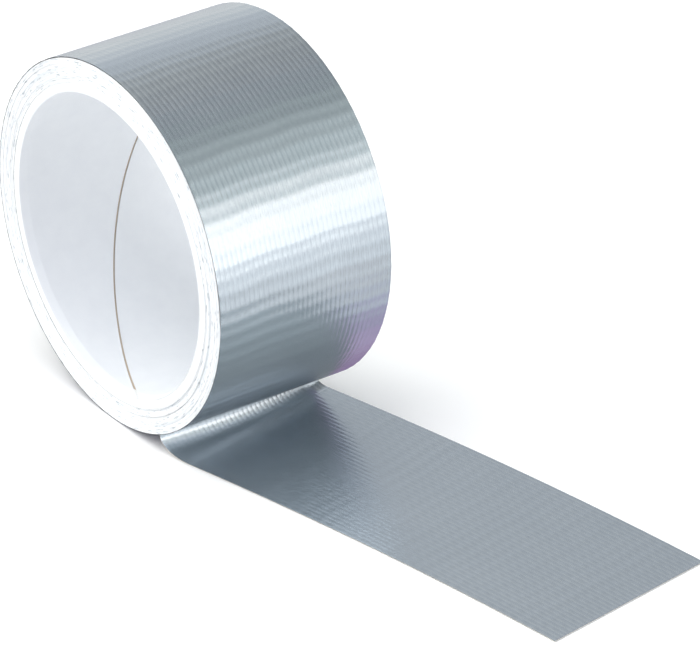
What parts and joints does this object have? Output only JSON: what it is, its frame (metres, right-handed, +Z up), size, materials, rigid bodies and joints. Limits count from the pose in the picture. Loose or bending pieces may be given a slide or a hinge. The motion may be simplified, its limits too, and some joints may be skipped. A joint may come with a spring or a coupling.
{
  "type": "duct tape roll",
  "caption": "Roll of silver cloth-backed tape on a white paperboard core, standing on its rim, with a length of tape folded back from the roll and laid out flat.",
  "frame": {"origin": "on the surface the roll stands on, under the middle of the bounding box of roll and strip", "axes": "+X from the roll towards the free end of the strip, +Y along the roll's axis from the near end face to the far one, +Z up"},
  "size_m": [0.1924, 0.0744, 0.095],
  "materials": {
    "tape_backing": "satin silver polyethylene film with fine lengthwise ribs",
    "tape_scrim": "thin cotton and polyester gauze",
    "tape_adhesive": "tacky off-white rubber",
    "wound_tape": "slit tape edges, off-white with faint grey layer lines",
    "liner_paper": "smooth white coated paper",
    "core_board": "pale chipboard, tan with glue inside",
    "outer_ply_paper": "white paper"
  },
  "bodies": {
    "laid_tape": {"crease_adhesive": "tape_adhesive", "crease_scrim": "tape_scrim", "crease_backing": "tape_backing"},
    "roll": {"core_liner": "liner_paper", "core_board_ply_1": "core_board", "core_board_ply_2": "core_board", "core_board_ply_3": "core_board", "core_board_ply_4": "core_board", "core_outer_ply": "outer_ply_paper", "wound_turns": "wound_tape", "last_turn_adhesive": "tape_adhesive", "last_turn_scrim": "tape_scrim", "last_turn_backing": "tape_backing"},
    "tail": {"tail_adhesive": "tape_adhesive", "tail_scrim": "tape_scrim", "tail_backing": "tape_backing"},
    "pulled_tape": {"pulled_adhesive": "tape_adhesive", "pulled_scrim": "tape_scrim", "pulled_backing": "tape_backing"},
    "free_end": {"free_end_adhesive": "tape_adhesive", "free_end_scrim": "tape_scrim", "free_end_backing": "tape_backing"}
  },
  "joints": [
    {"name": "unwind", "type": "hinge", "parent": "laid_tape", "child": "roll", "pos_m": [-0.04867, -0.01222, 0.0475], "axis": [0, 1, 0], "range_deg": [0, 120]},
    {"name": "tail_lift", "type": "hinge", "parent": "laid_tape", "child": "tail", "pos_m": [0.00587, -0.00325, 0.00018], "axis": [0.22, -0.9755, 0], "range_deg": [0, 60]},
    {"name": "pay_out", "type": "slide", "parent": "tail", "child": "pulled_tape", "axis": [0.9813, 0.1926, 0], "range_m": [0, 0.1]},
    {"name": "end_curl", "type": "hinge", "parent": "pulled_tape", "child": "free_end", "pos_m": [0.06623, 0.00847, 0.00018], "axis": [0.1611, -0.9869, 0], "range_deg": [0, 90]}
  ],
  "couplings": [
    {"joint": "pay_out", "follows": "unwind", "m_per_rad": 0.0475}
  ]
}
